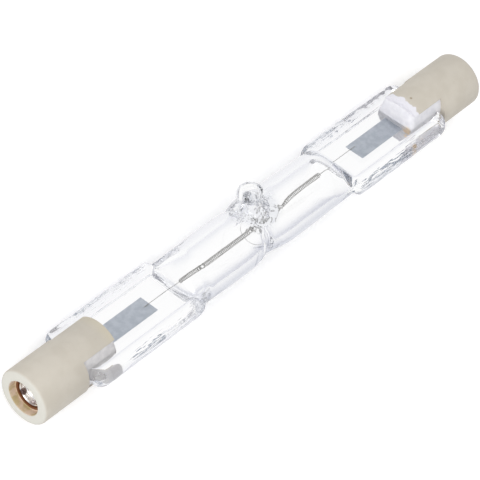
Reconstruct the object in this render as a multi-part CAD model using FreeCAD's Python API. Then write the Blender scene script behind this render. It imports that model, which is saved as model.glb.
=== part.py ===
import FreeCAD, Part
import math
import os

# Double-ended linear halogen lamp.
# Each piece is modelled about the lamp's axis, which is the X axis, with the press seals flat in
# the XY plane and the exhaust tip near +Z. The right end is modelled and mirrored to the left.
# Then the lamp is rolled about its axis and lifted to lie on the bulb's barrel.
# Sizes are in millimetres.

Vector = FreeCAD.Vector
ORIGIN = Vector(0, 0, 0)
ALONG = Vector(1, 0, 0)

# Overall length, over the two ceramic end faces
lamp_length = 78.3
contact_recess = 1.7

# Ceramic caps: a round body, then two jaws above and below the press seal
cap_radius = 3.6
cap_body_length = 7.1
jaw_length = 5.05
jaw_gap = 5.1
cap_rim_chamfer = 0.4
mouth_radius = 2.25
stem_hole_radius = 1.1

# Contacts: a button with a raised rim, and a stem that holds the lead wire
seat_step = 0.45
flange_thickness = 0.7
flange_clearance = 0.05
contact_rim_width = 0.3
contact_rim_height = 0.6
contact_seat_clearance = 0.1
contact_dish_depth = 0.2
contact_pad_radius = 1.05
contact_stem_radius = 0.85
contact_stem_length = 2.0

# Quartz tube, in two barrelled chambers with a waist between them
wall = 1.0
barrel_radius = 3.85
tube_radius = 3.75
barrel_bands = 4
waist_position = -0.8
waist_radius = 3.25
waist_groove_width = 0.9
waist_shoulder_radius = 3.45
bore_taper_length = 2.5

# Press seals: a flat web between two thick rails, and the shoulder where the tube flattens
seal_clearance = 0.75
seal_length = 16.3
shoulder_length = 4.0
web_thickness = 1.95
seal_half_width = 5.0
rail_width = 1.9
rail_flat = 0.8
rail_lead = 1.6
seal_corner_round = 1.3
rail_start_round = 0.9
shoulder_bands = 4
shoulder_height_lag = 1.5
gas_space_gap = 0.4
gas_space_half_width = 3.4
gas_edge_half_height = 0.05
gas_press_offset = 0.9
gas_press_round = 1.0

# Exhaust tip, leaning off the top of the bulb
tip_position = -0.15
tip_lean = 13.0
tip_height = 6.35
knob_radius = 1.6
knob_height = 1.9
neck_radius = 1.5
flare_radius = 3.0
flare_bend = 0.28
flare_depth = 0.35
tip_bore_radius = 0.4
tip_bore_height = 4.4
tip_bore_point = 0.6

# The knob's outline, as shares of its radius and of its height
knob_profile = ((1, 0.5), (0.8, 0.87), (0, 1))

# Filament: a coil with a straight tail at each end
left_coil_overrun = 2.1
right_coil_overrun = 1.2
coil_radius = 0.24
tail_radius = 0.1
tail_lap = 0.9

# Filament support: an open wire ring in the waist, a spoke and tight turns round the coil
support_wire_radius = 0.1
support_clearance = 0.05
support_grip_length = 0.5
wire_flats = 6
ring_opening = 60.0
spoke_angle = 190.0

# Foils and lead wires, with the flat that the weld presses on each wire
foil_inset = 3.3
foil_length = 9.54
foil_width = 2.8
foil_thickness = 0.05
foil_edge_thickness = 0.02
foil_edge_width = 0.5
lead_radius = 0.3
lead_lap = 1.0
lead_grip = 1.4
weld_flat = 0.02

# Cement between the jaws and the seal, with a bead at the jaws' mouth that is smaller at the left
cement_inset = 0.3
bead_half_height = 2.4
bead_inset = 0.6
left_bead_length = 0.3
left_bead_round = 0.2
right_bead_length = 0.9
right_bead_round = 0.7

# How far a cutting shape runs past what it cuts
cut_margin = 1.0

# Gap under the lower rails where the lamp lies on its barrel
rail_lift = 0.3

# What follows from the sizes above
half_length = lamp_length / 2
slot_end = half_length - cap_body_length
jaw_end = slot_end - jaw_length
contact_face = half_length - contact_recess
contact_rim = contact_face + contact_rim_height
mouth_floor = contact_rim + contact_seat_clearance
seal_end = slot_end - seal_clearance
seal_start = seal_end - seal_length
rail_start = seal_start - rail_lead
tube_end = seal_start - shoulder_length
gas_space_end = seal_start - gas_space_gap
gas_press_start = tube_end + gas_press_offset
trim_depth = 4 * barrel_radius
coil_start = -(tube_end + left_coil_overrun)
coil_end = tube_end + right_coil_overrun
foil_end = seal_end - foil_inset
foil_start = foil_end - foil_length
seat_radius = mouth_radius - seat_step
ledge = contact_face - flange_thickness
stem_end = ledge - contact_stem_length
rail_radius = rail_width / 2
rail_line = seal_half_width - rail_radius
tail_height = 0.0
foil_top = tail_height - tail_radius + weld_flat
lead_height = foil_top + lead_radius - weld_flat
tail_end = foil_start + tail_lap
lead_start = foil_end - lead_lap
lead_end = stem_end + lead_grip

# The roll at which the lamp lies on its barrel, with the rails of one side just off the ground
corner_reach = math.hypot(rail_line, rail_flat / 2)
corner_angle = math.atan2(rail_flat / 2, rail_line)
rail_drop = barrel_radius - rail_radius - rail_lift
rest_roll = math.degrees(math.asin(rail_drop / corner_reach) - corner_angle)


def rod(radius, start, end, height=0.0):
    """A round rod along the lamp from one X to another, at a height above the axis."""
    return Part.makeCylinder(radius, end - start, Vector(start, 0, height), ALONG)


def block(start, end, half_width, low, high):
    """A box along the lamp, centred on its width."""
    return Part.makeBox(end - start, 2 * half_width, high - low, Vector(start, -half_width, low))


def corner_arc(before, corner, after, radius):
    """The start, middle and end of the arc that rounds a corner between two straight lines."""
    to_before = (before - corner).normalize()
    to_after = (after - corner).normalize()
    half_angle = to_before.getAngle(to_after) / 2
    reach = radius / math.tan(half_angle)
    start = corner + to_before * reach
    end = corner + to_after * reach
    bisector = (to_before + to_after).normalize()
    centre = corner + bisector * (radius / math.sin(half_angle))
    return start, centre - bisector * radius, end


def rounded_outline(corners):
    """A closed wire through corners given as (x, y, rounding radius)."""
    count = len(corners)
    points = [Vector(x, y, 0) for x, y, radius in corners]
    edges = []
    pen = []
    for i, (x, y, radius) in enumerate(corners):
        if radius > 0:
            arc = corner_arc(points[i - 1], points[i], points[(i + 1) % count], radius)
            pen.append(arc)
        else:
            pen.append((points[i],))
    for i, stop in enumerate(pen):
        if len(stop) == 3:
            edges.append(Part.Arc(*stop).toShape())
        following = pen[(i + 1) % count][0]
        if stop[-1].distanceToPoint(following) > 1e-7:
            edges.append(Part.LineSegment(stop[-1], following).toShape())
    return Part.Wire(edges)


def turned(points):
    """A solid turned about the lamp's axis from an outline of (x, radius) points."""
    corners = [Vector(x, radius, 0) for x, radius in points]
    return Part.Face(Part.makePolygon(corners + corners[:1])).revolve(ORIGIN, ALONG, 360)


def mirrored(shape):
    """The same piece at the lamp's left end."""
    return shape.mirror(ORIGIN, ALONG)


def ceramic_cap():
    """Round cap with a mouth and a stepped seat for the contact, slotted to leave two jaws."""
    body = turned([
        (jaw_end, 0),
        (jaw_end, cap_radius),
        (half_length - cap_rim_chamfer, cap_radius),
        (half_length, cap_radius - cap_rim_chamfer),
        (half_length, mouth_radius),
        (mouth_floor, mouth_radius),
        (mouth_floor, seat_radius),
        (ledge, seat_radius),
        (ledge, stem_hole_radius),
        (slot_end, stem_hole_radius),
        (slot_end, 0),
    ])
    slot = block(jaw_end - cut_margin, slot_end, cap_radius + cut_margin, -jaw_gap / 2, jaw_gap / 2)
    return body.cut(slot)


def contact():
    """Dished button that seats on the cap's ledge, with a stem welded to the lead wire."""
    flange_radius = seat_radius - flange_clearance
    dish_radius = flange_radius - contact_rim_width
    dish = contact_face - contact_dish_depth
    button = turned([
        (stem_end, 0),
        (stem_end, contact_stem_radius),
        (ledge, contact_stem_radius),
        (ledge, flange_radius),
        (contact_rim, flange_radius),
        (contact_rim, dish_radius),
        (dish, dish_radius),
        (dish, contact_pad_radius),
        (contact_face, contact_pad_radius),
        (contact_face, 0),
    ])
    return button.cut(rod(lead_radius, stem_end - cut_margin, lead_end, lead_height))


def lead_wire():
    """Wire from the foil's outer end to the contact's stem, pressed flat where it is welded."""
    wire = rod(lead_radius, lead_start, lead_end, lead_height)
    return wire.cut(block(lead_start, foil_end, lead_radius, foil_top - 2 * weld_flat, foil_top))


def foil():
    """Thin ribbon with feathered long edges, its top face under the welded wires."""
    middle = foil_top - foil_thickness / 2
    half = foil_width / 2
    inner = half - foil_edge_width
    thick = foil_thickness / 2
    thin = foil_edge_thickness / 2
    outline = [
        (-half, -thin), (-inner, -thick), (inner, -thick), (half, -thin),
        (half, thin), (inner, thick), (-inner, thick), (-half, thin),
    ]
    points = [Vector(foil_start, y, middle + z) for y, z in outline]
    section = Part.Face(Part.makePolygon(points + points[:1]))
    return section.extrude(Vector(foil_end - foil_start, 0, 0))


def oval(x, half_width, half_height):
    """An elliptical section of the bulb across the lamp's axis."""
    centre = Vector(x, 0, 0)
    curve = Part.Ellipse(Vector(x, half_width, 0), Vector(x, 0, half_height), centre)
    return Part.Wire([curve.toShape()])


def shoulder():
    """The tube's end from round to flat: the width eases out early, the height falls late."""
    sections = []
    for i in range(shoulder_bands + 1):
        share = i / shoulder_bands
        width_share = (1 - math.cos(math.pi * share)) / 2
        height_share = (1 - math.cos(math.pi * share ** shoulder_height_lag)) / 2
        half_width = tube_radius + (rail_line - tube_radius) * width_share
        half_height = tube_radius + (web_thickness / 2 - tube_radius) * height_share
        sections.append(oval(tube_end + (seal_start - tube_end) * share, half_width, half_height))
    return Part.makeLoft(sections, True, True)


def gas_wedge():
    """The gas space where the press closed it: widened in plan, and pinched to a thin edge."""
    top = tube_radius - wall / 2
    widened = turned([
        (tube_end, 0),
        (tube_end, tube_radius - wall),
        (gas_space_end, gas_space_half_width),
        (gas_space_end, 0),
    ])
    pinch = prism([
        (tube_end - wall, -top, 0),
        (gas_press_start, -top, gas_press_round),
        (gas_space_end, -gas_edge_half_height, 0),
        (gas_space_end, gas_edge_half_height, 0),
        (gas_press_start, top, gas_press_round),
        (tube_end - wall, top, 0),
    ], trim_depth)
    pinch.rotate(ORIGIN, ALONG, 90)
    return widened.common(pinch)


def barrel_points(start, start_radius, end, end_radius):
    """Points (x, radius) along one chamber, which swells to the barrel radius at its middle."""
    points = []
    for i in range(barrel_bands + 1):
        share = 2 * i / barrel_bands - 1
        edge_radius = start_radius if share < 0 else end_radius
        radius = barrel_radius - (barrel_radius - edge_radius) * share ** 2
        points.append(((start + end) / 2 + (end - start) / 2 * share, radius))
    return points


def chambers():
    """The outside of the two barrelled chambers and of the waist, as a turned solid."""
    groove = waist_groove_width / 2
    left = barrel_points(-tube_end, tube_radius, waist_position - groove, waist_shoulder_radius)
    right = barrel_points(waist_position + groove, waist_shoulder_radius, tube_end, tube_radius)
    return turned([(-tube_end, 0)] + left + [(waist_position, waist_radius)] + right + [(tube_end, 0)])


def bore():
    """The round stretch of the gas space, narrowed at the waist."""
    bore_radius = tube_radius - wall
    return turned([
        (-tube_end, 0),
        (-tube_end, bore_radius),
        (waist_position - bore_taper_length, bore_radius),
        (waist_position, waist_radius - wall),
        (waist_position + bore_taper_length, bore_radius),
        (tube_end, bore_radius),
        (tube_end, 0),
    ])


def prism(corners, depth):
    """A block of even depth about the XY plane, from corners given as (x, y, rounding radius)."""
    shape = Part.Face(rounded_outline(corners)).extrude(Vector(0, 0, depth))
    shape.translate(Vector(0, 0, -depth / 2))
    return shape


def rail_bar(side):
    """One thick edge of the press seal: a bar with a flat-sided round section."""
    inner = side * (seal_half_width - rail_width)
    outer = side * seal_half_width
    half_height = rail_radius + rail_flat / 2
    low = min(inner, outer)
    high = max(inner, outer)
    section = rounded_outline([
        (-half_height, low, rail_radius),
        (half_height, low, rail_radius),
        (half_height, high, rail_radius),
        (-half_height, high, rail_radius),
    ])
    bar = Part.Face(section).extrude(Vector(0, 0, seal_end - rail_start))
    bar.rotate(ORIGIN, Vector(0, 1, 0), 90)
    bar.translate(Vector(rail_start, 0, 0))
    return bar


def press_seal():
    """The flat web and its two rails, with rounded ends in plan, at the right end."""
    half = web_thickness / 2
    web = block(rail_start, seal_end, rail_line, -half, half)
    bars = web.fuse([rail_bar(1), rail_bar(-1)])
    plan = prism([
        (rail_start, -seal_half_width, rail_start_round),
        (seal_end, -seal_half_width, seal_corner_round),
        (seal_end, seal_half_width, seal_corner_round),
        (rail_start, seal_half_width, rail_start_round),
    ], trim_depth)
    return bars.common(plan)


def tip_placement():
    """Stands a shape made along +Z on the bulb, leaning towards +Y."""
    return FreeCAD.Placement(Vector(tip_position, 0, 0), FreeCAD.Rotation(ALONG, -tip_lean))


def exhaust_tip():
    """The sealed-off stub: a flare, a neck and a melted knob, turned about its own axis."""
    foot = waist_radius - wall - flare_depth
    neck = tip_height - knob_height
    foot_edge = Vector(flare_radius, 0, foot)
    neck_edge = Vector(neck_radius, 0, neck)
    bend_radius = neck_radius + flare_bend * (flare_radius - neck_radius)
    bend = Vector(bend_radius, 0, foot + 2 * flare_bend * (neck - foot))
    knob = [
        Vector(knob_radius * radius_share, 0, neck + knob_height * height_share)
        for radius_share, height_share in knob_profile
    ]
    outline = [neck_edge] + knob + [Vector(0, 0, foot), foot_edge]
    edges = [Part.LineSegment(a, b).toShape() for a, b in zip(outline, outline[1:])]
    edges.append(Part.Arc(foot_edge, bend, neck_edge).toShape())
    stub = Part.Face(Part.Wire(edges)).revolve(ORIGIN, Vector(0, 0, 1), 360)
    stub.Placement = tip_placement()
    return stub


def exhaust_bore():
    """The remains of the exhaust tube's bore, which closes to a point inside the knob."""
    start = waist_radius - wall - flare_depth - cut_margin
    channel = Part.makeCylinder(tip_bore_radius, tip_bore_height - start, Vector(0, 0, start))
    point = Part.makeCone(tip_bore_radius, 0, tip_bore_point, Vector(0, 0, tip_bore_height))
    channel = channel.fuse(point)
    channel.Placement = tip_placement()
    return channel


def envelope():
    """The outer form of the quartz, solid."""
    end = shoulder().fuse(press_seal())
    return chambers().fuse([end, mirrored(end), exhaust_tip()])


def gas_space():
    """The hollow inside the envelope, tapering to a curved wedge at each seal."""
    wedge = gas_wedge()
    return bore().fuse([wedge, mirrored(wedge), exhaust_bore()])


def quartz_bulb(embedded):
    """The envelope with its gas space and a pocket for each piece that is sealed into it."""
    shape = envelope().cut(gas_space())
    for piece in embedded:
        shape = shape.cut(piece)
    return shape


def tail(start, end):
    """A straight end of the filament wire, pressed flat where it laps the foil."""
    wire = rod(tail_radius, start, end, tail_height)
    return wire.cut(block(foil_start, end, tail_radius, foil_top - 2 * weld_flat, foil_top))


def filament():
    """The coil, as its outer form, and its two straight tails."""
    coil = rod(coil_radius, coil_start, coil_end, tail_height)
    return coil.fuse([tail(coil_end, tail_end), mirrored(tail(-coil_start, tail_end))])


def filament_support():
    """Open wire ring in the waist, with a spoke to the tight turns that hold the coil."""
    ring_radius = waist_radius - wall - support_wire_radius - support_clearance
    flat_angles = [2 * math.pi * (i + 0.5) / wire_flats for i in range(wire_flats)]
    section = [
        Vector(support_wire_radius * math.cos(a), ring_radius + support_wire_radius * math.sin(a), 0)
        for a in flat_angles
    ]
    ring = Part.Face(Part.makePolygon(section + section[:1])).revolve(ORIGIN, ALONG, 360 - ring_opening)
    grip_bore = coil_radius + support_clearance
    grip_radius = grip_bore + 2 * support_wire_radius
    half_grip = support_grip_length / 2
    grip = rod(grip_radius, -half_grip, half_grip)
    spoke_start = Vector(0, coil_radius, 0)
    spoke = Part.makeCylinder(support_wire_radius, ring_radius - coil_radius, spoke_start, Vector(0, 1, 0))
    shape = ring.fuse([spoke, grip]).cut(rod(grip_bore, -half_grip, half_grip))
    shape.rotate(ORIGIN, ALONG, spoke_angle)
    shape.translate(Vector(waist_position, 0, 0))
    return shape


def cement(seal, wire, bead_length, bead_round):
    """Fills the slot round the seal and stands out of the jaws' mouth in a bead."""
    filling = rod(cap_radius - cement_inset, jaw_end, slot_end)
    filling = filling.common(block(jaw_end, slot_end, cap_radius, -jaw_gap / 2, jaw_gap / 2))
    bead = prism([
        (jaw_end, -bead_half_height, 0),
        (jaw_end - bead_length, -bead_half_height, bead_round),
        (jaw_end - bead_length, bead_half_height, bead_round),
        (jaw_end, bead_half_height, 0),
    ], trim_depth)
    bead.rotate(ORIGIN, ALONG, 90)
    bead = bead.common(rod(cap_radius - bead_inset, jaw_end - bead_length, jaw_end))
    return filling.fuse(bead).cut(seal).cut(wire)


def lamp_pieces():
    """Every piece by name, about the lamp's axis."""
    seal = press_seal()
    wire = lead_wire()
    right = {
        "ceramic_cap": ceramic_cap(),
        "contact": contact(),
        "lead_wire": wire,
        "foil": foil(),
    }
    embedded = [foil(), wire, tail(tube_end, tail_end)]
    pieces = {
        "quartz_bulb": quartz_bulb(embedded + [mirrored(piece) for piece in embedded]),
        "filament": filament(),
        "filament_support": filament_support(),
        "right_cement": cement(seal, wire, right_bead_length, right_bead_round),
        "left_cement": mirrored(cement(seal, wire, left_bead_length, left_bead_round)),
    }
    for name, shape in right.items():
        pieces["right_" + name] = shape
        pieces["left_" + name] = mirrored(shape)
    return pieces


def lay_down(pieces):
    """Rolls the lamp to the side on which it lies, and centres it over the origin."""
    for shape in pieces.values():
        shape.rotate(ORIGIN, ALONG, -rest_roll)
        shape.translate(Vector(0, 0, barrel_radius))
    extent = Part.makeCompound(list(pieces.values())).optimalBoundingBox(False, False)
    for shape in pieces.values():
        shape.translate(Vector(0, -extent.Center.y, 0))


lamp = lamp_pieces()
lay_down(lamp)
os.makedirs("parts", exist_ok=True)
for node, piece in lamp.items():
    piece.exportStep("parts/" + node + ".step")
    print(node, len(piece.Solids), piece.isValid(), round(piece.Volume, 3))
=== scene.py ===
import math

import bmesh
import bpy
from mathutils import Matrix, Vector, noise


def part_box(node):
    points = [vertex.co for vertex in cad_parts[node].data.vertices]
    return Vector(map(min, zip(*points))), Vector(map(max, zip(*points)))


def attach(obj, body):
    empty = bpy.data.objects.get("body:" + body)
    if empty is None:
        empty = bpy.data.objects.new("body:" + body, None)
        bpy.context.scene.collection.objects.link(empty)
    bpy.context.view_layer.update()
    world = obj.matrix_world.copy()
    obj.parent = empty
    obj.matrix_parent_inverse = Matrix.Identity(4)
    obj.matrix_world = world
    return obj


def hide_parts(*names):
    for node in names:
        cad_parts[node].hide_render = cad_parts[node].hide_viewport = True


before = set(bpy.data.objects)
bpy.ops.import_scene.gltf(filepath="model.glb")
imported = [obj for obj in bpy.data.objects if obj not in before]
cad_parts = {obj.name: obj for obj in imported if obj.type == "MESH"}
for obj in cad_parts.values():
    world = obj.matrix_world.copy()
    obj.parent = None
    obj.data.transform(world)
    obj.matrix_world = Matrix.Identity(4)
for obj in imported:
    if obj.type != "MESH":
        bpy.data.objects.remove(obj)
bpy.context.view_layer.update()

# The lamp is shaped about its own axis in millimetres: X along it, the press seals flat in the
# XY plane and the exhaust tip near +Z. LAY_DOWN puts a finished shape where the lamp lies.
ROLL = math.radians(34.06683)
cap_low, cap_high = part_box("right_ceramic_cap")
AXIS = (cap_low + cap_high) / 2
LAY_DOWN = (
    Matrix.Translation((0, AXIS.y, AXIS.z))
    @ Matrix.Rotation(-ROLL, 4, "X")
    @ Matrix.Scale(0.001, 4)
)

# Caps and contacts, as places along the lamp from its middle, and radii
LAMP_HALF = 39.15
CAP_RADIUS = 3.6
MOUTH_RADIUS = 2.25
MOUTH_FLOOR = 38.15
SEAT_RADIUS = 1.8
LEDGE = 36.75
STEM_HOLE = 1.1
SLOT_END = 32.05
JAW_END = 27.0
JAW_GAP = 5.1
CONTACT_FACE = LAMP_HALF - 1.7
STEM_END = 34.75
STEM_RADIUS = 0.85
CEMENT_SIDES = 72

# Tube and waist
TUBE_RADIUS = 3.75
BARREL_RADIUS = 3.85
TUBE_END = 11.0
WALL = 1.0
WAIST = -0.8
COLLAR_RADIUS = 3.4
GROOVE_DEPTH = 0.2
FRONT_ANGLE = 121.0
BULB_SIDES = 128
GAS_SIDES = 64
GAS_HALF_WIDTH = 3.4

# Exhaust tip
TIP_X = -0.15
TIP_LEAN = 13

# Press seals
SEAL_START = 15.0
SEAL_END = 31.3
SEAL_HALF = 5.0
SEAL_CORNER = 1.3
WEB_HALF = 0.975
RAIL_RADIUS = 0.95
RAIL_LINE = 4.05
RAIL_START = 13.4

# Filament and support
COIL_START = -13.1
COIL_END = 12.3
COIL_RADIUS = 0.31
COIL_WIRE = 0.05
COIL_PITCH = 0.25
COIL_DRIFT = 0.65
TAIL_END = 19.36
TAIL_OVERLAP = 0.3
TAIL_WIRE = 0.045
RING_RADIUS = 2.15
SPOKE_ANGLE = math.radians(190)
GRIP_RADIUS = 0.37
GRIP_TURNS = 2
SUPPORT_WIRE = 0.03


# Mesh helpers


def mesh_data(mesh, name):
    """Turns a bmesh into mesh data, and frees it."""
    data = bpy.data.meshes.new(name)
    mesh.to_mesh(data)
    mesh.free()
    return data


def new_object(name, data):
    thing = bpy.data.objects.new(name, data)
    bpy.context.scene.collection.objects.link(thing)
    return thing


def finish_piece(mesh, name, material, node, sharp):
    """Lays a shape down, names it, and lets it ride on the lamp in place of its CAD node."""
    data = mesh_data(mesh, name)
    data.transform(LAY_DOWN)
    data.shade_smooth()
    data.set_sharp_from_angle(angle=math.radians(sharp))
    data.materials.append(material)
    piece = new_object(name, data)
    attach(piece, "root")
    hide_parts(node)


def finish_end_piece(mesh, side, name, material, node, sharp):
    """Finishes a piece that is shaped for the right end, and mirrored for the left."""
    if side == "left":
        bmesh.ops.scale(mesh, vec=(-1, 1, 1), verts=mesh.verts)
        bmesh.ops.reverse_faces(mesh, faces=mesh.faces)
    finish_piece(mesh, f"{side}_{name}", material, f"{side}_{node}", sharp)


def evaluated_shape(thing):
    """The shape that an object has with its modifiers or its bevel."""
    graph = bpy.context.evaluated_depsgraph_get()
    mesh = bmesh.new()
    mesh.from_mesh(thing.evaluated_get(graph).to_mesh())
    return mesh


def combine(base, other, how):
    """Cuts or joins two closed shapes, and frees them."""
    things = [new_object("shape", mesh_data(mesh, "shape")) for mesh in (base, other)]
    cut = things[0].modifiers.new("shape", "BOOLEAN")
    cut.operation = how
    cut.solver = "EXACT"
    cut.object = things[1]
    result = evaluated_shape(things[0])
    for thing in things:
        data = thing.data
        bpy.data.objects.remove(thing)
        bpy.data.meshes.remove(data)
    return result


def take_in(mesh, other):
    """Adds a second shape to a first, and frees it."""
    data = mesh_data(other, "taken_in")
    mesh.from_mesh(data)
    bpy.data.meshes.remove(data)


def spun(points, axis, steps):
    """Spins a line of points a full turn about an axis through the origin."""
    mesh = bmesh.new()
    verts = [mesh.verts.new(point) for point in points]
    edges = [mesh.edges.new(pair) for pair in zip(verts, verts[1:])]
    bmesh.ops.spin(
        mesh, geom=verts + edges, cent=(0, 0, 0), axis=axis,
        angle=2 * math.pi, steps=steps, use_merge=True,
    )
    bmesh.ops.remove_doubles(mesh, verts=mesh.verts, dist=1e-4)
    bmesh.ops.recalc_face_normals(mesh, faces=mesh.faces)
    return mesh


def turned(outline, steps):
    """Spins an outline of (x, radius) about the lamp's axis."""
    return spun([(x, 0, radius) for x, radius in outline], (1, 0, 0), steps)


def upright(outline, steps):
    """Spins an outline of (height, radius) about the tip's own axis, and closes its foot."""
    foot = (0.0, 0.0, outline[0][0])
    return spun([foot] + [(radius, 0, height) for height, radius in outline], (0, 0, 1), steps)


def loft(stations, sides, place):
    """Draws a ring of points along the lamp, ring after ring, and closes both ends."""
    mesh = bmesh.new()
    side_of = mesh.verts.layers.int.new("side")
    ring = bmesh.ops.create_circle(mesh, segments=sides, radius=1.0)["verts"]
    for index, vert in enumerate(ring):
        vert[side_of] = index
        vert.co = place(stations[0], index)
    edges = list(mesh.edges)
    bmesh.ops.contextual_create(mesh, geom=edges)
    for x in stations[1:]:
        grown = bmesh.ops.extrude_edge_only(mesh, edges=edges)["geom"]
        edges = [item for item in grown if isinstance(item, bmesh.types.BMEdge)]
        for item in grown:
            if isinstance(item, bmesh.types.BMVert):
                item.co = place(x, item[side_of])
    bmesh.ops.contextual_create(mesh, geom=edges)
    bmesh.ops.recalc_face_normals(mesh, faces=mesh.faces)
    return mesh


def wire_along(points, radius):
    """A round wire along a line of points, as a mesh."""
    curve = bpy.data.curves.new("wire", "CURVE")
    curve.dimensions = "3D"
    curve.bevel_depth = radius
    curve.bevel_resolution = 3
    curve.use_fill_caps = True
    spline = curve.splines.new("POLY")
    spline.points.add(len(points) - 1)
    for point, place in zip(spline.points, points):
        point.co = (*place, 1)
    thing = new_object("wire", curve)
    mesh = evaluated_shape(thing)
    bpy.data.objects.remove(thing)
    bpy.data.curves.remove(curve)
    return mesh


def ease(low, high, value):
    """Goes softly from 0 at the low value to 1 at the high one."""
    share = min(max((value - low) / (high - low), 0.0), 1.0)
    return share * share * (3 - 2 * share)


def bell(distance, width):
    """A soft bump: 1 at no distance, fading out over the width."""
    return math.exp(-(distance / width) ** 2)


def blend_high(a, b, reach):
    """The higher of two heights, with a fillet where they meet."""
    near = max(reach - abs(a - b), 0.0) / reach
    return max(a, b) + near * near * reach / 4


def ripple(x, lane, pitch):
    """Unevenness along a rail, from -1 to 1; each lane has its own."""
    return noise.noise(Vector((x / pitch, lane * 7.3, 1.7 * lane)))


# The quartz bulb. A swing is an angle in degrees round the tube, from its front at 0.


def chamber_radius(x, swing):
    """Two barrelled chambers that run into a groove at the waist, softer behind."""
    offset = abs(x - WAIST)
    chamber = TUBE_END + WAIST if x < WAIST else TUBE_END - WAIST
    share = min(offset / chamber, 1.0)
    swell = TUBE_RADIUS + (BARREL_RADIUS - TUBE_RADIUS) * math.sin(math.pi * share)
    behind = ease(105, 150, swing) * (1 - ease(215, 239, swing))
    reach = 1.5 + 1.8 * behind
    if x > WAIST:
        reach += 0.9 * ease(20, 60, swing) * (1 - behind)
    collar = (BARREL_RADIUS - COLLAR_RADIUS) * (1 - 0.3 * behind) * bell(offset, reach)
    groove = GROOVE_DEPTH * (1 - behind) * bell(offset, 0.3)
    return swell - collar - groove


def crease(x, swing):
    """A soft fold that runs askew from the tip's foot down the front of the left chamber."""
    line = -0.95 - 1.15 * ease(0, 25, swing) - 0.7 * ease(25, 95, swing)
    reach = ease(-35, -5, swing) * (1 - ease(95, 130, swing))
    return 0.13 * reach * (bell(x - line, 0.2) + 0.6 * bell(x - line - 0.75, 0.22))


def wrinkles(x, angle):
    """Fine folds that run out from the tip's foot over the tube."""
    along = x - TIP_X
    around = (angle - math.radians(90 - TIP_LEAN)) * TUBE_RADIUS
    distance = math.hypot(along, around)
    turn = math.atan2(around, along)
    fold = noise.noise(Vector((3.2 * math.cos(turn), 3.2 * math.sin(turn), 0.25 * distance)))
    return 0.11 * fold * ease(2.2, 2.9, distance) * (1 - ease(3.4, 5.2, distance))


def bulb_section(x, index):
    """One point of the bulb's outside: tube, shoulder, then web and rails."""
    side = abs(x)
    angle = 2 * math.pi * index / BULB_SIDES
    across, up = math.cos(angle), math.sin(angle)
    if side <= TUBE_END:
        swing = (math.degrees(angle) - (FRONT_ANGLE - 120)) % 360 - 120
        radius = chamber_radius(x, swing) - crease(x, swing) + wrinkles(x, angle)
        return Vector((x, radius * across, radius * up))

    share = min((side - TUBE_END) / (SEAL_START - TUBE_END), 1.0)
    wide = (1 - math.cos(math.pi * share)) / 2
    flat = (1 - math.cos(math.pi * share ** 1.5)) / 2
    web_wide = TUBE_RADIUS + (RAIL_LINE - TUBE_RADIUS) * wide
    web_high = TUBE_RADIUS + (WEB_HALF - TUBE_RADIUS) * flat

    rail = ease(RAIL_START - 0.5, RAIL_START + 1.4, side)
    lane = (2 if across > 0 else 1) + 4 * (x > 0)
    coarse = 0.06 * (1 + ripple(side, lane, 1.9))
    fine = 0.03 * (1 + ripple(side, lane + 9, 0.6))
    rough = rail * (coarse + fine)
    edge = SEAL_HALF
    if side > SEAL_END - SEAL_CORNER:
        past = side - SEAL_END + SEAL_CORNER
        edge -= SEAL_CORNER - math.sqrt(max(SEAL_CORNER ** 2 - past ** 2, 0.0))
    reach = web_wide + (edge - web_wide) * math.sqrt(rail) - rough
    y = reach * across

    within = min(abs(y) / web_wide, 1.0)
    round_top = web_high * math.sqrt(1 - within ** 2)
    square_top = web_high * (1 - within ** 8) ** 0.5
    top = round_top + (square_top - round_top) * ease(SEAL_START - 2.4, SEAL_START, side)
    if rail > 0:
        off = abs(abs(y) - (reach - RAIL_RADIUS)) / RAIL_RADIUS
        rail_high = (RAIL_RADIUS + 0.4 - 0.8 * rough) * rail
        rail_top = rail_high * math.sqrt(max(1 - off ** 2.4, 0.0))
        top = blend_high(top, rail_top, 0.45 * rail)
    if side > SEAL_END - 0.25:
        top *= math.sqrt(max(1 - ((side - SEAL_END + 0.25) / 0.27) ** 2, 0.05))
    sign = 0.0 if abs(up) < 1e-6 else math.copysign(1, up)
    return Vector((x, y, sign * top * min(1.0, abs(up) * 12)))


def bulb_stations():
    """Places of the bulb's rings, closest at the waist and at the ends of the seals."""
    half = [TUBE_END + 0.25 * i for i in range(1, 17)]
    half += [SEAL_START + 0.22 * i for i in range(1, 73)]
    half = [x for x in half if x < SEAL_END - 0.3]
    half += [SEAL_END - back for back in (0.3, 0.15, 0.05, 0)]
    middle = [-TUBE_END + 0.5 * i for i in range(45)]
    middle = [x for x in middle if not WAIST - 4.5 < x < WAIST + 5.0]
    middle += [WAIST + 0.1 * i for i in range(-44, 50)]
    return sorted([-x for x in half] + middle + half)


def lean(mesh):
    """Leans the tip off the tube's top."""
    turn = Matrix.Rotation(math.radians(-TIP_LEAN), 3, "X")
    bmesh.ops.rotate(mesh, verts=mesh.verts, cent=(0, 0, 0), matrix=turn)
    bmesh.ops.translate(mesh, verts=mesh.verts, vec=(TIP_X, 0, 0))
    return mesh


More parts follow.
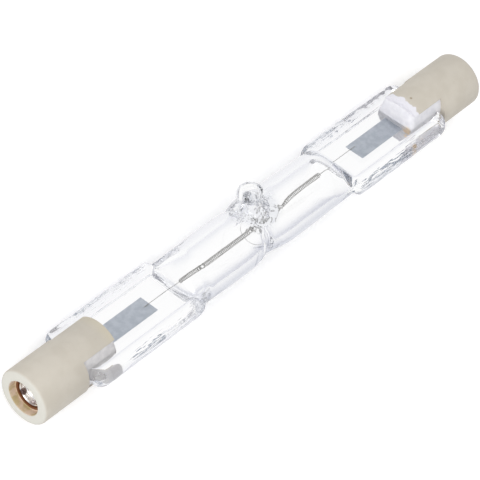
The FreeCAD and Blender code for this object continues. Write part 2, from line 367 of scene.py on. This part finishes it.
def exhaust_tip():
    """The sealed-off stub: a fluted flare, a neck and a melted knob that leans off the tube."""
    mesh = upright([
        (1.9, 3.2), (2.85, 3.15), (3.2, 2.8), (3.5, 2.4), (3.8, 2.05), (4.1, 1.78),
        (4.4, 1.58), (4.65, 1.48), (4.9, 1.5), (5.15, 1.58), (5.4, 1.62), (5.65, 1.57),
        (5.92, 1.4), (6.15, 1.08), (6.3, 0.62), (6.35, 0.0),
    ], 56)
    for vert in mesh.verts:
        flute = noise.noise(Vector((2.1 * vert.co.x, 2.1 * vert.co.y, 0.4 * vert.co.z)))
        swell = 1 + 0.11 * flute * ease(2.4, 3.2, vert.co.z) * (1 - ease(4.6, 5.2, vert.co.z))
        vert.co.x *= swell
        vert.co.y *= swell
        knob = ease(3.6, 5.0, vert.co.z)
        vert.co.x += 0.09 * noise.noise(vert.co * 0.9 + Vector((3, 1, 0))) * knob
        vert.co.y += 0.09 * noise.noise(vert.co * 0.9 + Vector((0, 8, 2))) * knob
    return lean(mesh)


def gas_section(x, index):
    """One point of the gas space: a bore that narrows at the waist and is pinched at each seal."""
    side = abs(x)
    angle = 2 * math.pi * index / GAS_SIDES
    across, up = math.cos(angle), math.sin(angle)
    radius = TUBE_RADIUS - WALL - 0.22 * bell(abs(x - WAIST), 2.2)
    if side <= TUBE_END:
        return Vector((x, radius * across, radius * up))

    share = min((side - TUBE_END) / (SEAL_START - TUBE_END), 1.0)
    wide = radius + (GAS_HALF_WIDTH - radius) * ease(0, 1, share)
    high = 0.04 + (radius - 0.04) * (1 + math.cos(math.pi * share ** 1.5)) / 2
    square = ease(SEAL_START - 2.4, SEAL_START, side)
    rise = (1 - square) * abs(up) + square * math.sqrt(max(1 - across ** 8, 0.0))
    y = wide * across
    z = math.copysign(high * rise, up) if abs(up) > 1e-6 else 0.0
    bow = -1.0 * share ** 2 * abs(y / GAS_HALF_WIDTH) ** 1.4
    return Vector((math.copysign(side + bow, x), y, z))


def gas_space():
    """The hollow inside: the bore with its wedges, and the channel up into the tip."""
    half = [TUBE_END + (SEAL_START - TUBE_END) * i / 20 for i in range(1, 21)]
    middle = [WAIST + 0.25 * i for i in range(-12, 13)]
    middle += [-TUBE_END, -8.0, -6.0, -4.6, 3.0, 5.0, 8.0, TUBE_END]
    bore = loft(sorted([-x for x in half] + middle + half), GAS_SIDES, gas_section)
    channel = upright([
        (1.5, 1.8), (2.5, 1.75), (2.8, 1.5), (3.1, 1.25), (3.6, 1.05), (4.2, 0.95),
        (4.7, 0.97), (5.1, 1.03), (5.4, 0.97), (5.65, 0.78), (5.82, 0.45), (5.88, 0.0),
    ], 40)
    return combine(bore, lean(channel), "UNION")


def quartz_bulb(material):
    """The envelope: its skin with the tip grown on and smoothed in, and the hollow inside."""
    skin = loft(bulb_stations(), BULB_SIDES, bulb_section)
    mesh = combine(skin, exhaust_tip(), "UNION")
    foot = [vert for vert in mesh.verts if abs(vert.co.x) < 3.8 and 1.6 < vert.co.z < 4.0]
    for _ in range(2):
        bmesh.ops.smooth_vert(
            mesh, verts=foot, factor=0.5, use_axis_x=True, use_axis_y=True, use_axis_z=True,
        )
    bmesh.ops.recalc_face_normals(mesh, faces=mesh.faces)
    hollow = gas_space()
    bmesh.ops.recalc_face_normals(hollow, faces=hollow.faces)
    bmesh.ops.reverse_faces(hollow, faces=hollow.faces)
    take_in(mesh, hollow)
    finish_piece(mesh, "clear_bulb", material, "quartz_bulb", sharp=50)


# Filament and its support


def filament(material):
    """A close coil of fine wire with a tail at each end; its right half drifts off the axis."""
    mesh = bmesh.new()
    section = bmesh.ops.create_circle(
        mesh, segments=6, radius=COIL_WIRE,
        matrix=Matrix.Translation((COIL_START + COIL_WIRE, 0, COIL_RADIUS - COIL_WIRE))
        @ Matrix.Rotation(math.radians(90), 4, "X"),
    )["verts"]
    length = COIL_END - COIL_START - 2 * COIL_WIRE
    turns = length / COIL_PITCH
    steps = round(turns * 12)
    bmesh.ops.spin(
        mesh, geom=section + list(mesh.edges), cent=(0, 0, 0), axis=(1, 0, 0),
        dvec=(length / steps, 0, 0), angle=2 * math.pi * turns, steps=steps,
    )
    bmesh.ops.recalc_face_normals(mesh, faces=mesh.faces)
    tails = ((-TAIL_END, COIL_START + TAIL_OVERLAP), (COIL_END - TAIL_OVERLAP, TAIL_END))
    for low, high in tails:
        line = [(low + (high - low) * step / 16, 0, 0) for step in range(17)]
        take_in(mesh, wire_along(line, TAIL_WIRE))
    for vert in mesh.verts:
        vert.co.y += COIL_DRIFT * ease(0.4, 9.0, vert.co.x)
    finish_piece(mesh, "coiled_filament", material, "filament", sharp=60)


def filament_support(material):
    """An open wire ring in the waist, a spoke, and two tight turns round the coil."""
    def around(x, radius, angle):
        return x, radius * math.cos(angle), radius * math.sin(angle)

    points = [
        around(WAIST, RING_RADIUS, SPOKE_ANGLE + math.radians(opening))
        for opening in range(300, -1, -6)
    ]
    points += [around(WAIST, RING_RADIUS * share, SPOKE_ANGLE) for share in (0.75, 0.5, 0.3)]
    for step in range(25):
        angle = SPOKE_ANGLE + 2 * math.pi * GRIP_TURNS * step / 24
        points.append(around(WAIST - 0.2 + 0.4 * step / 24, GRIP_RADIUS, angle))
    mesh = wire_along(points, SUPPORT_WIRE)
    finish_piece(mesh, "wire_support", material, "filament_support", sharp=60)


# Caps, cement and contacts


def ceramic_cap(side, material):
    """A round cap with a recess for the contact, slotted to leave two jaws on the seal."""
    body = turned([
        (JAW_END, 0.0), (JAW_END, CAP_RADIUS), (LAMP_HALF - 0.42, CAP_RADIUS),
        (LAMP_HALF - 0.27, CAP_RADIUS - 0.03), (LAMP_HALF - 0.12, CAP_RADIUS - 0.13),
        (LAMP_HALF - 0.03, CAP_RADIUS - 0.27), (LAMP_HALF, CAP_RADIUS - 0.42),
        (LAMP_HALF, MOUTH_RADIUS + 0.2), (LAMP_HALF - 0.03, MOUTH_RADIUS + 0.1),
        (LAMP_HALF - 0.1, MOUTH_RADIUS + 0.03), (LAMP_HALF - 0.2, MOUTH_RADIUS),
        (MOUTH_FLOOR, MOUTH_RADIUS), (MOUTH_FLOOR, SEAT_RADIUS), (LEDGE, SEAT_RADIUS),
        (LEDGE, STEM_HOLE), (SLOT_END - 1, STEM_HOLE), (SLOT_END - 1, 0.0),
    ], 96)
    slot = bmesh.new()
    bmesh.ops.create_cube(slot, size=1.0)
    slot_size = (SLOT_END - JAW_END + 1, 2 * CAP_RADIUS + 2, JAW_GAP)
    bmesh.ops.scale(slot, vec=slot_size, verts=slot.verts)
    bmesh.ops.translate(slot, vec=((SLOT_END + JAW_END - 1) / 2, 0, 0), verts=slot.verts)
    mesh = combine(body, slot, "DIFFERENCE")
    rims = [
        edge for edge in mesh.edges
        if len(edge.link_faces) == 2 and edge.calc_face_angle() > math.radians(40)
        and all(vert.co.x < SLOT_END + 0.01 for vert in edge.verts)
        and all(math.hypot(vert.co.y, vert.co.z) > STEM_HOLE + 0.1 for vert in edge.verts)
    ]
    bmesh.ops.bevel(
        mesh, geom=rims, offset=0.1, offset_type="OFFSET", affect="EDGES",
        segments=2, profile=0.5, material=-1,
    )
    finish_end_piece(mesh, side, "cap", material, "ceramic_cap", sharp=35)


def cement(side, bead, material):
    """Cement that fills the slot below the surface and swells out over the seal as a soft bead."""
    end = JAW_END - bead
    shares = (0, 0.015, 0.04, 0.08, 0.13, 0.2, 0.3, 0.45, 0.6, 0.8, 1)
    stations = [end + share * (SLOT_END - end) for share in shares]

    def place(x, index):
        angle = 2 * math.pi * index / CEMENT_SIDES
        across, up = math.cos(angle), math.sin(angle)
        rise = math.sqrt(max(1 - (1 - min((x - end) / 0.5, 1.0)) ** 2, 0.0))
        wide = 2.75 + 0.2 * noise.noise(Vector((x, 2 * across, 3.0)))
        lumps = 0.12 * noise.noise(Vector((0.8 * x, across, up)))
        crown = 2.3 + 0.75 * bead * ease(end, JAW_END - 0.1, x) + lumps
        half = JAW_GAP / 2 + 0.02 if x > JAW_END else crown
        high = WEB_HALF - 0.1 + (half - WEB_HALF + 0.1) * rise
        square = ease(JAW_END - 0.4, JAW_END + 0.3, x)
        flat_top = min(1.0, 1.9 * abs(up)) ** 0.7
        z = high * (square * flat_top + (1 - square) * abs(up) ** 0.5)
        return Vector((x, wide * across * (0.92 + 0.08 * rise), math.copysign(z, up)))

    mesh = loft(stations, CEMENT_SIDES, place)
    finish_end_piece(mesh, side, "cement_fill", material, "cement", sharp=60)


def contact(side, material):
    """A cupped button with a rolled rim and a domed pad, on a stem."""
    face = CONTACT_FACE
    mesh = turned([
        (STEM_END, 0.0), (STEM_END, STEM_RADIUS), (LEDGE, STEM_RADIUS), (LEDGE, 1.68),
        (LEDGE + 0.08, 1.75), (face + 0.45, 1.75), (face + 0.56, 1.72), (face + 0.6, 1.63),
        (face + 0.56, 1.52), (face + 0.4, 1.46), (face + 0.05, 1.43), (face - 0.1, 1.38),
        (face - 0.18, 1.28), (face - 0.19, 1.16), (face - 0.13, 1.06), (face - 0.06, 0.94),
        (face - 0.02, 0.75), (face, 0.45), (face, 0.0),
    ], 80)
    finish_end_piece(mesh, side, "contact_button", material, "contact", sharp=50)


# Node helpers


def feed(tree, socket, value):
    """Links a socket to another, or sets it to a number, a vector or a colour."""
    if isinstance(value, bpy.types.NodeSocket):
        tree.links.new(value, socket)
    elif socket.type == "RGBA":
        socket.default_value = (*value, 1)
    else:
        socket.default_value = value


def fill(tree, sockets, values):
    """Links or sets sockets by their names or numbers."""
    for name, value in values.items():
        feed(tree, sockets[name], value)


def add_node(tree, kind, values, **settings):
    """Adds a node, with its settings and then its inputs, and returns its outputs."""
    node = tree.nodes.new(kind)
    for name, setting in settings.items():
        setattr(node, name, setting)
    fill(tree, node.inputs, values)
    return node.outputs


def math_node(tree, operation, first, second=0.0):
    values = {0: first, 1: second}
    return add_node(tree, "ShaderNodeMath", values, operation=operation)["Value"]


def times(tree, value, *factors):
    """A value multiplied by each factor in turn."""
    for factor in factors:
        value = math_node(tree, "MULTIPLY", value, factor)
    return value


def ramp(tree, value, low, high, out_low=0.0, out_high=1.0):
    """Goes softly from one result at the low value to another at the high one."""
    values = {
        "Value": value, "From Min": low, "From Max": high, "To Min": out_low, "To Max": out_high,
    }
    return add_node(
        tree, "ShaderNodeMapRange", values, interpolation_type="SMOOTHSTEP",
    )["Result"]


def mix_colour(tree, factor, first, second):
    """The first colour at a factor of 0, the second at 1."""
    values = {"Factor": factor, "A": first, "B": second}
    return add_node(tree, "ShaderNodeMix", values, data_type="RGBA")["Result"]


def noise_value(tree, vector, scale, detail=3.0, stretch=None):
    """Noise from 0 to 1, with its pattern scaled along each axis where stretch is given."""
    if stretch:
        values = {"Vector": vector, "Scale": stretch}
        vector = add_node(tree, "ShaderNodeMapping", values)["Vector"]
    values = {"Vector": vector, "Scale": scale, "Detail": detail}
    return add_node(tree, "ShaderNodeTexNoise", values)["Fac"]


def axes(tree, vector):
    """The X, Y and Z of a vector."""
    outputs = add_node(tree, "ShaderNodeSeparateXYZ", {"Vector": vector})
    return outputs["X"], outputs["Y"], outputs["Z"]


def bump(tree, height, shader, strength, distance):
    """Raises a shader's surface by a height."""
    values = {"Height": height, "Strength": strength, "Distance": distance}
    feed(tree, shader.inputs["Normal"], add_node(tree, "ShaderNodeBump", values)["Normal"])


def new_group(name, inputs, outputs):
    """An empty node group with named sockets."""
    tree = bpy.data.node_groups.new(name, "ShaderNodeTree")
    for direction, sockets in (("INPUT", inputs), ("OUTPUT", outputs)):
        for socket, kind in sockets.items():
            tree.interface.new_socket(name=socket, in_out=direction, socket_type=kind)
    return tree, tree.nodes.new("NodeGroupInput").outputs, tree.nodes.new("NodeGroupOutput").inputs


def use_group(tree, name, values):
    """Places a node group in a material, with values of its own."""
    return add_node(tree, "ShaderNodeGroup", values, node_tree=bpy.data.node_groups[name])


def new_material(name):
    material = bpy.data.materials.new(name)
    material.use_nodes = True
    return material, material.node_tree, material.node_tree.nodes["Principled BSDF"]


# Effects that several materials share

VALUE, VECTOR, COLOUR = "NodeSocketFloat", "NodeSocketVector", "NodeSocketColor"


def place_group():
    """Where a point lies on the lamp: along it, across it, above it and out from its axis."""
    tree, given, result = new_group(
        "place_on_lamp", {"Vector": VECTOR},
        {"Along": VALUE, "Across": VALUE, "Above": VALUE, "Radius": VALUE},
    )
    along, across, above = axes(tree, given["Vector"])
    squares = [math_node(tree, "POWER", value, 2.0) for value in (across, above)]
    radius = math_node(tree, "SQRT", math_node(tree, "ADD", *squares))
    fill(tree, result, {"Along": along, "Across": across, "Above": above, "Radius": radius})


def mottle_group():
    """Soft clouds of two colours, and a fine grain for the surface."""
    tree, given, result = new_group(
        "mottled_surface",
        {
            "Vector": VECTOR, "Cloud Scale": VALUE, "Cloud Low": VALUE, "Cloud High": VALUE,
            "First Colour": COLOUR, "Second Colour": COLOUR, "Grain Scale": VALUE,
        },
        {"Colour": COLOUR, "Clouds": VALUE, "Grain": VALUE},
    )
    clouds = noise_value(tree, given["Vector"], given["Cloud Scale"])
    clouds = ramp(tree, clouds, given["Cloud Low"], given["Cloud High"])
    fill(tree, result, {
        "Colour": mix_colour(tree, clouds, given["First Colour"], given["Second Colour"]),
        "Clouds": clouds,
        "Grain": noise_value(tree, given["Vector"], given["Grain Scale"]),
    })


def spot_group():
    """A small round patch about a point, fading out to its rim."""
    tree, given, result = new_group(
        "round_spot",
        {"Vector": VECTOR, "Centre": VECTOR, "Inner": VALUE, "Outer": VALUE},
        {"Spot": VALUE},
    )
    ends = {0: given["Vector"], 1: given["Centre"]}
    distance = add_node(tree, "ShaderNodeVectorMath", ends, operation="DISTANCE")["Value"]
    fill(tree, result, {"Spot": ramp(tree, distance, given["Outer"], given["Inner"])})


def lamp_vector(tree):
    """Object coordinates turned and scaled to millimetres about the lamp's axis."""
    return add_node(tree, "ShaderNodeMapping", {
        "Vector": add_node(tree, "ShaderNodeTexCoord", {})["Object"],
        "Scale": (1000, 1000, 1000),
        "Rotation": (ROLL, 0, 0),
        "Location": Matrix.Rotation(ROLL, 3, "X") @ (-1000 * Vector((0, AXIS.y, AXIS.z))),
    })["Vector"]


def lamp_place(tree, vector):
    return use_group(tree, "place_on_lamp", {"Vector": vector})


def mottled(tree, vector, scale, low, high, first, second, grain):
    return use_group(tree, "mottled_surface", {
        "Vector": vector, "Cloud Scale": scale, "Cloud Low": low, "Cloud High": high,
        "First Colour": first, "Second Colour": second, "Grain Scale": grain,
    })


def spot(tree, vector, centre, inner, outer):
    values = {"Vector": vector, "Centre": centre, "Inner": inner, "Outer": outer}
    return use_group(tree, "round_spot", values)["Spot"]


# Materials. The numbers are millimetres on the lamp, and metres for the bumps.


def quartz_material():
    """Clear quartz: greyed with painted shade at its edges and more on the tube's lower side, and
    in the upper rails; tinted at the tip's foot, with folds at the foot, streaks, and rippled
    rails."""
    material, tree, shader = new_material("clear_quartz")
    vector = lamp_vector(tree)
    place = lamp_place(tree, vector)
    across, above = place["Across"], place["Above"]
    out = math_node(tree, "ABSOLUTE", place["Along"])

    # Painted shade: the base colour greys the glass where it faces away, and more on the tube's
    # lower side.
    facing = add_node(tree, "ShaderNodeLayerWeight", {"Blend": 0.5})["Facing"]
    edge = times(tree, ramp(tree, facing, 0.27, 0.68), ramp(tree, above, 4.4, 3.9))
    below = times(tree, ramp(tree, across, 1.5, -1.5), ramp(tree, out, 14.5, 12.0))
    painted_edge_shade = mix_colour(tree, below, (0.79, 0.80, 0.86), (0.50, 0.52, 0.61))
    colour = mix_colour(tree, edge, (1, 1, 1), painted_edge_shade)
    # Painted shade: the upper rails are greyed a little.
    upper = times(tree, ramp(tree, across, 2.9, 3.8), ramp(tree, out, 13.0, 16.0, 0.0, 0.6))
    colour = mix_colour(tree, upper, colour, (0.88, 0.885, 0.925))
    foot = spot(tree, vector, centre=(TIP_X, 0.3, 3.5), inner=2.2, outer=3.9)
    foot = times(tree, foot, ramp(tree, above, 4.6, 4.1))
    colour = mix_colour(tree, foot, colour, (0.87, 0.88, 0.905))
    fill(tree, shader.inputs, {
        "Base Color": colour, "Roughness": 0.0, "IOR": 1.458, "Transmission Weight": 1.0,
    })

    streaks = noise_value(tree, vector, 0.55, detail=2.0, stretch=(0.35, 1.6, 1.6))
    grain = noise_value(tree, vector, 1.5, detail=2.0, stretch=(0.22, 1.2, 1.2))
    folds = noise_value(tree, vector, 1.0, detail=1.0, stretch=(1.9, 1.9, 0.3))
    rails = times(
        tree, ramp(tree, out, 12.0, 14.0), ramp(tree, out, 27.0, 25.0, 0.15, 1.0),
        ramp(tree, math_node(tree, "ABSOLUTE", across), 2.9, 3.5),
    )
    height = math_node(tree, "ADD", times(tree, streaks, 0.08), times(tree, grain, rails))
    height = math_node(tree, "ADD", height, times(tree, foot, 1.3, folds))
    bump(tree, height, shader, 0.8, 0.0002)

    depth = {"Color": (0.70, 0.72, 0.79), "Density": 16.0}
    depth = add_node(tree, "ShaderNodeVolumeAbsorption", depth)["Volume"]
    feed(tree, tree.nodes["Material Output"].inputs["Volume"], depth)
    return material


def ceramic_material():
    """Ivory ceramic: clouded and specked, with painted light making its end faces paler, stained
    at the left jaws, smeared with cement at the right ones, tan in the mouth with painted light
    reflected off the contact, and brown on the ledge inside as painted shade with a solder stain."""
    material, tree, shader = new_material("ivory_ceramic")
    vector = lamp_vector(tree)
    place = lamp_place(tree, vector)
    along, radius = place["Along"], place["Radius"]
    out = math_node(tree, "ABSOLUTE", along)

    surface = mottled(
        tree, vector, scale=0.45, low=0.3, high=0.7,
        first=(0.545, 0.502, 0.426), second=(0.585, 0.543, 0.467), grain=7.0,
    )
    specks = ramp(tree, noise_value(tree, vector, 5.0, detail=2.0), 0.68, 0.78, 0.0, 0.5)
    colour = mix_colour(tree, specks, surface["Colour"], (0.42, 0.37, 0.29))
    # Painted light: the end faces are paler, for the light that falls on them.
    end_face_light = ramp(tree, out, 38.85, 39.1)
    colour = mix_colour(tree, end_face_light, colour, (0.60, 0.585, 0.525))
    stain = times(tree, ramp(tree, out, 28.8, 27.0), ramp(tree, along, -20, -24), 0.5)
    colour = mix_colour(tree, stain, colour, (0.62, 0.56, 0.41))
    ragged = times(tree, noise_value(tree, vector, 0.8, detail=4.0), 2.2)
    ragged = math_node(tree, "ADD", out, ragged)
    smear = times(tree, ramp(tree, ragged, 28.95, 28.75), ramp(tree, along, 20, 24))
    colour = mix_colour(tree, smear, colour, (0.77, 0.76, 0.80))
    speck = spot(tree, vector, centre=(28.41, -0.465, 3.57), inner=0.1, outer=0.22)
    colour = mix_colour(tree, speck, colour, (0.36, 0.30, 0.22))

    # Painted light: the mouth's wall is tinted tan for warm light reflected off the contact.
    mouth = times(tree, ramp(tree, radius, 2.32, 2.27), ramp(tree, out, 37.0, 37.4))
    clouds = ramp(tree, noise_value(tree, vector, 0.9), 0.4, 0.6)
    tan = mix_colour(tree, clouds, (0.50, 0.40, 0.22), (0.66, 0.52, 0.40))
    colour = mix_colour(tree, mouth, colour, tan)
    # Painted shade: the ledge on the mouth's floor is dark brown for the shade in the gap, and for
    # a solder stain.
    ledge = times(tree, ramp(tree, out, 38.3, 38.17), ramp(tree, radius, 2.13, 2.03))
    colour = mix_colour(tree, times(tree, mouth, ledge), colour, (0.17, 0.06, 0.02))
    fill(tree, shader.inputs, {
        "Base Color": colour, "Roughness": 0.6, "Specular IOR Level": 0.35,
    })
    bump(tree, surface["Grain"], shader, 0.35, 0.00003)
    return material


def metal_material(name, first, second, roughness):
    """Plain metal, clouded with two tones and finely grained."""
    material, tree, shader = new_material(name)
    surface = mottled(
        tree, lamp_vector(tree), scale=1.3, low=0.35, high=0.65,
        first=first, second=second, grain=2.6,
    )
    fill(tree, shader.inputs, {
        "Base Color": surface["Colour"], "Metallic": 1.0, "Roughness": roughness,
    })
    bump(tree, surface["Grain"], shader, 0.3, 0.00005)
    return material


def contact_material():
    """Bright metal, browned towards its rim with painted shade of the gap round it, with dark
    burns and a dull patch on the left one.
    """
    material, tree, shader = new_material("bright_contact")
    vector = lamp_vector(tree)
    surface = mottled(
        tree, vector, scale=1.1, low=0.4, high=0.6,
        first=(0.86, 0.83, 0.79), second=(0.95, 0.94, 0.93), grain=2.0,
    )
    # Painted shade: the rim is darkened brown for the shade in the narrow gap round the button.
    rim_shade = times(tree, ramp(tree, lamp_place(tree, vector)["Radius"], 1.55, 1.7), 0.9)
    colour = mix_colour(tree, rim_shade, surface["Colour"], (0.42, 0.20, 0.09))
    burn = spot(tree, vector, centre=(-37.8, 1.2, -0.75), inner=0.35, outer=0.55)
    scattered = ramp(tree, noise_value(tree, vector, 0.9, detail=2.0), 0.66, 0.74)
    burn = times(tree, math_node(tree, "MAXIMUM", burn, scattered), 0.9)
    colour = mix_colour(tree, burn, colour, (0.07, 0.02, 0.012))
    dull = spot(tree, vector, centre=(-37.85, -0.35, -1.4), inner=0.3, outer=0.6)
    colour = mix_colour(tree, times(tree, dull, 0.7), colour, (0.36, 0.29, 0.30))
    fill(tree, shader.inputs, {
        "Base Color": colour, "Metallic": 1.0,
        "Roughness": ramp(tree, surface["Clouds"], 0.0, 1.0, 0.36, 0.24),
    })
    bump(tree, surface["Grain"], shader, 0.2, 0.00004)
    return material


def cement_material():
    """Smooth pale cement, greyer at the left end with painted shade, and with a golden stain on
    the right end's side.
    """
    material, tree, shader = new_material("pale_cement")
    vector = lamp_vector(tree)
    place = lamp_place(tree, vector)
    along, across, above = place["Along"], place["Across"], place["Above"]
    surface = mottled(
        tree, vector, scale=1.2, low=0.35, high=0.65,
        first=(0.72, 0.715, 0.75), second=(0.80, 0.795, 0.82), grain=1.6,
    )
    # Painted shade: the cement at the left end is greyed, standing in for shade under the jaws.
    shaded_grey = mix_colour(tree, surface["Clouds"], (0.60, 0.585, 0.585), (0.70, 0.685, 0.68))
    colour = mix_colour(tree, ramp(tree, along, -1, 1), shaded_grey, surface["Colour"])
    side = times(tree, ramp(tree, across, -1.0, -1.8), ramp(tree, across, -2.75, -2.45))
    band = times(tree, ramp(tree, above, 1.3, 0.8), ramp(tree, above, -1.8, -1.3))
    clouds = ramp(tree, noise_value(tree, vector, 0.9), 0.4, 0.58, 0.0, 0.85)
    stain = times(
        tree, side, band, ramp(tree, along, 29.5, 28.0), ramp(tree, along, 20, 24), clouds,
    )
    colour = mix_colour(tree, stain, colour, (0.92, 0.68, 0.42))
    fill(tree, shader.inputs, {"Base Color": colour, "Roughness": 0.55})
    bump(tree, surface["Grain"], shader, 0.35, 0.0001)
    return material


# Floor, light and camera, in metres


def white_floor():
    """A pale matt floor, which metal and glass see as a bright background."""
    mesh = bmesh.new()
    bmesh.ops.create_grid(mesh, x_segments=8, y_segments=8, size=3.0)
    bmesh.ops.translate(mesh, vec=(0, 0, -0.00003), verts=mesh.verts)
    floor = new_object("floor", mesh_data(mesh, "floor"))
    material, tree, shader = new_material("white_floor")
    path = add_node(tree, "ShaderNodeLightPath", {})
    in_metal, in_glass = path["Is Glossy Ray"], path["Is Transmission Ray"]
    x, y, _ = axes(tree, add_node(tree, "ShaderNodeTexCoord", {})["Object"])
    front = ramp(tree, math_node(tree, "ADD", x, y), -0.35, 0.1, 0.62, 0.95)
    near = ramp(tree, math_node(tree, "ABSOLUTE", y), 0.012, 0.05, 1.0, 0.78)
    light = times(tree, path["Is Camera Ray"], 0.25)
    light = math_node(tree, "MAXIMUM", light, times(tree, in_metal, front))
    light = math_node(tree, "MAXIMUM", light, times(tree, in_glass, near))
    seen = math_node(tree, "MAXIMUM", in_glass, in_metal)
    fill(tree, shader.inputs, {
        "Base Color": mix_colour(tree, seen, (0.9, 0.9, 0.9), (0.0, 0.0, 0.0)),
        "Roughness": 0.9, "Specular IOR Level": 0.0,
        "Emission Color": (1, 1, 1), "Emission Strength": light,
    })
    floor.data.materials.append(material)


def studio_world():
    """Soft light, brightest overhead; the camera sees white, and glass nearly so."""
    world = bpy.data.worlds.new("studio")
    bpy.context.scene.world = world
    world.use_nodes = True
    tree = world.node_tree
    direction = add_node(tree, "ShaderNodeTexCoord", {})["Generated"]
    height = ramp(tree, axes(tree, direction)[2], 0.05, 0.75)
    path = add_node(tree, "ShaderNodeLightPath", {})
    sky = mix_colour(tree, height, (0.60, 0.61, 0.65), (1.0, 1.0, 1.01))
    beyond = mix_colour(tree, height, (0.93, 0.935, 0.95), (1.0, 1.0, 1.0))
    sky = mix_colour(tree, path["Is Transmission Ray"], sky, beyond)
    colour = mix_colour(tree, path["Is Camera Ray"], sky, (1, 1, 1))
    fill(tree, tree.nodes["Background"].inputs, {"Color": colour, "Strength": 1.0})


def key_light():
    """A square lamp off the left end, aimed at the middle."""
    data = bpy.data.lights.new("key", "AREA")
    data.shape = "SQUARE"
    data.size = 0.3
    data.energy = 1.25
    place = Vector((-0.50, 0.02, 0.27))
    light = new_object("key", data)
    light.location = place
    light.rotation_euler = (-place).to_track_quat("-Z", "Y").to_euler()


def camera():
    """The photograph's view, as fitted to the caps, the slots and the ends of the seals."""
    focal_pixels, frame_pixels, sensor = 2824, 480, 36
    data = bpy.data.cameras.new("camera")
    data.sensor_width = sensor
    data.sensor_fit = "HORIZONTAL"
    data.lens = sensor * focal_pixels / frame_pixels
    data.clip_start = 0.01
    data.clip_end = 20
    right = (0.665976, -0.741853, 0.078293)
    up = (0.491073, 0.514994, 0.702587)
    back = (-0.561537, -0.429459, 0.707278)
    turn = Matrix.Rotation(-ROLL, 3, "X") @ Matrix((right, up, back)).transposed()
    place = LAY_DOWN @ Vector((-191.804, -144.712, 238.092))
    view = new_object("camera", data)
    view.matrix_world = Matrix.Translation(place) @ turn.to_4x4()
    bpy.context.scene.camera = view


camera()
studio_world()
white_floor()
place_group()
mottle_group()
spot_group()
key_light()

quartz_bulb(quartz_material())
tungsten = metal_material("drawn_tungsten", (0.36, 0.355, 0.34), (0.46, 0.455, 0.44), 0.3)
filament(tungsten)
filament_support(tungsten)
ceramic = ceramic_material()
cement_finish = cement_material()
contact_finish = contact_material()
for end_name, bead in (("left", 0.25), ("right", 0.85)):
    ceramic_cap(end_name, ceramic)
    cement(end_name, bead, cement_finish)
    contact(end_name, contact_finish)

# The foils and the lead wires are the CAD's own solids, with a finish of their own.
finishes = {
    "lead_wire": metal_material("brown_wire", (0.40, 0.30, 0.18), (0.5, 0.42, 0.3), 0.4),
    "foil": metal_material("foil", (0.53, 0.575, 0.635), (0.62, 0.66, 0.72), 0.45),
}
for node_name, finish in finishes.items():
    for end_name in ("left", "right"):
        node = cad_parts[end_name + "_" + node_name]
        node.data.materials.clear()
        node.data.materials.append(finish)

# Light crosses many layers of solid quartz, which turn black with fewer bounces.
bpy.context.scene.view_settings.view_transform = "Standard"
bpy.context.scene.cycles.max_bounces = 32
bpy.context.scene.cycles.glossy_bounces = 24
bpy.context.scene.cycles.transmission_bounces = 32
